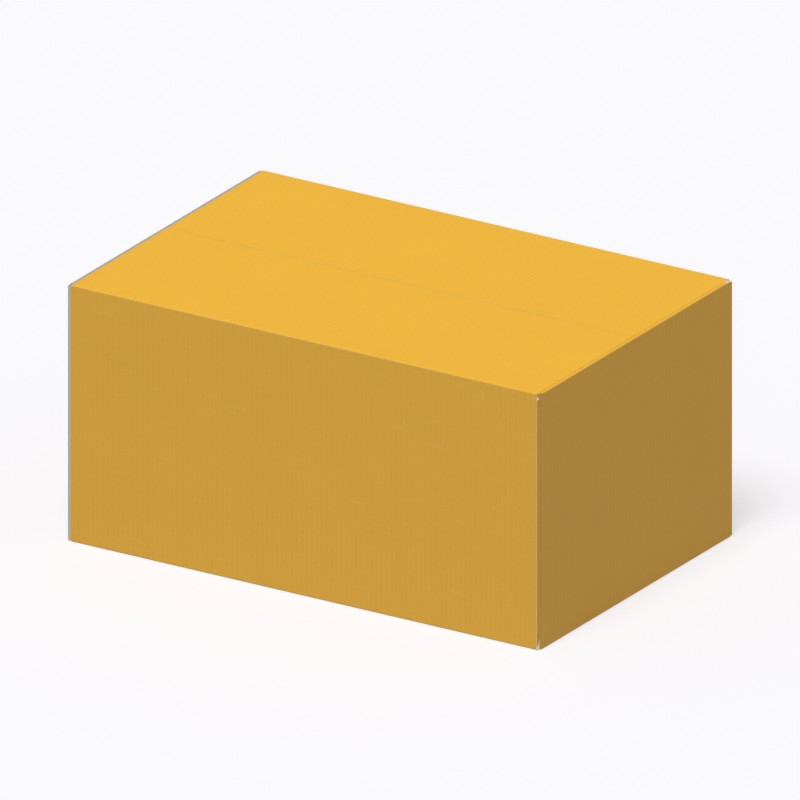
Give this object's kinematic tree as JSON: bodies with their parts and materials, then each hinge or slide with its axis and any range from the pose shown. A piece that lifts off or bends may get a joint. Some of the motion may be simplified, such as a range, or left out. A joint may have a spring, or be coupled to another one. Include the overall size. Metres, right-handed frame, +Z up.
{
  "type": "cardboard box",
  "caption": "Closed rectangular shipping box folded from thin corrugated board, with hinged top flaps that meet along a centre seam.",
  "frame": {"origin": "middle of the underside, on the surface that the box stands on", "axes": "+X along the length to the right, +Y from the front panel to the back panel, +Z up through the top flaps"},
  "size_m": [0.304, 0.1986, 0.1507],
  "materials": {
    "printed_board": "satin"
  },
  "bodies": {
    "carton": {"carton_body": "printed_board"},
    "front_flap": {"front_top_flap": "printed_board"},
    "back_flap": {"back_top_flap": "printed_board"}
  },
  "joints": [
    {"name": "front_flap_crease", "type": "hinge", "parent": "carton", "child": "front_flap", "pos_m": [0, -0.09935, 0.1507], "axis": [1, 0, 0], "range_deg": [0, 250]},
    {"name": "back_flap_crease", "type": "hinge", "parent": "carton", "child": "back_flap", "pos_m": [0, 0.09935, 0.1507], "axis": [-1, 0, 0], "range_deg": [0, 250]}
  ]
}
